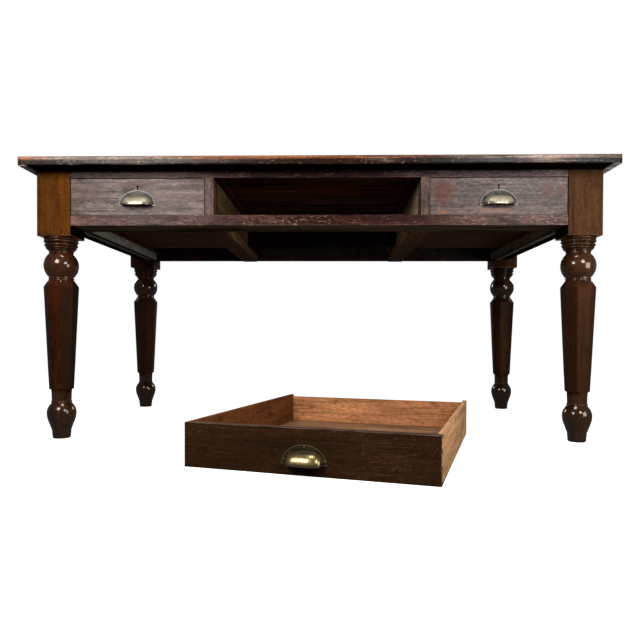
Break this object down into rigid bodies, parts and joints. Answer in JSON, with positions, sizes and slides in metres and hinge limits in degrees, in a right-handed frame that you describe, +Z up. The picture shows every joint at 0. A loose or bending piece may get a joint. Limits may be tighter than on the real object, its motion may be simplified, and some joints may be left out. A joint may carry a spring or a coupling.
{
  "type": "writing table",
  "caption": "Wooden writing table on turned legs with eight-sided shafts, with frieze drawers on cup pulls; the middle drawer stands on the floor in front.",
  "frame": {"origin": "on the floor, in the middle of the area that the table and the drawer on the floor cover", "axes": "+X to the right along the table as seen from its front, +Y to the back, +Z up"},
  "size_m": [1.534, 1.312, 0.738],
  "materials": {
    "table_top": "worn dark polish",
    "leg": "dark polish, glossy",
    "frame": "worn dark polish",
    "drawer_front": "worn dark polish",
    "drawer_inner": "bare, aged",
    "bare_wood": "bare, aged",
    "brass": "aged, polished on the cup",
    "iron": "dull, aged"
  },
  "bodies": {
    "table": {"top_board_front": "table_top", "top_board_middle": "table_top", "top_board_back": "table_top", "leg_front_left": "leg", "leg_front_right": "leg", "leg_back_left": "leg", "leg_back_right": "leg", "upper_front_rail": "frame", "lower_front_rail": "frame", "muntin_left": "frame", "muntin_right": "frame", "side_apron_left": "frame", "side_apron_right": "frame", "back_apron": "frame", "bearer_left": "bare_wood", "bearer_right": "bare_wood", "runner_left": "bare_wood", "runner_right": "bare_wood", "partition_left": "bare_wood", "partition_right": "bare_wood", "guide_left": "bare_wood", "guide_right": "bare_wood", "kicker_left": "bare_wood", "kicker_right": "bare_wood", "outer_kicker_left": "bare_wood", "outer_kicker_right": "bare_wood", "drawer_stops": "bare_wood", "top_screws": "iron", "glue_blocks": "iron"},
    "left_drawer": {"left_drawer_front": "drawer_front", "left_drawer_side_l": "drawer_inner", "left_drawer_side_r": "drawer_inner", "left_drawer_back": "drawer_inner", "left_drawer_bottom": "drawer_inner", "left_pull": "brass", "left_pull_screws": "brass", "left_lock": "iron", "left_lock_screws": "iron"},
    "left_bolt": {"left_lock_bolt": "brass"},
    "middle_drawer": {"middle_drawer_front": "drawer_front", "middle_drawer_side_l": "drawer_inner", "middle_drawer_side_r": "drawer_inner", "middle_drawer_back": "drawer_inner", "middle_drawer_bottom": "drawer_inner", "middle_pull": "brass", "middle_pull_screws": "brass"},
    "right_drawer": {"right_drawer_front": "drawer_front", "right_drawer_side_l": "drawer_inner", "right_drawer_side_r": "drawer_inner", "right_drawer_back": "drawer_inner", "right_drawer_bottom": "drawer_inner", "right_pull": "brass", "right_pull_screws": "brass", "right_lock": "iron", "right_lock_screws": "iron"},
    "right_bolt": {"right_lock_bolt": "brass"}
  },
  "joints": [
    {"name": "left_drawer_slide", "type": "slide", "parent": "table", "child": "left_drawer", "axis": [0, -1, 0], "range_m": [0, 0.45]},
    {"name": "right_drawer_slide", "type": "slide", "parent": "table", "child": "right_drawer", "axis": [0, -1, 0], "range_m": [0, 0.45]},
    {"name": "middle_drawer_slide", "type": "slide", "parent": "table", "child": "middle_drawer", "axis": [-0.284, -0.9588, 0], "range_m": [0, 0.64]},
    {"name": "left_bolt_slide", "type": "slide", "parent": "left_drawer", "child": "left_bolt", "axis": [0, 0, 1], "range_m": [0, 0.007]},
    {"name": "right_bolt_slide", "type": "slide", "parent": "right_drawer", "child": "right_bolt", "axis": [0, 0, 1], "range_m": [0, 0.007]}
  ]
}
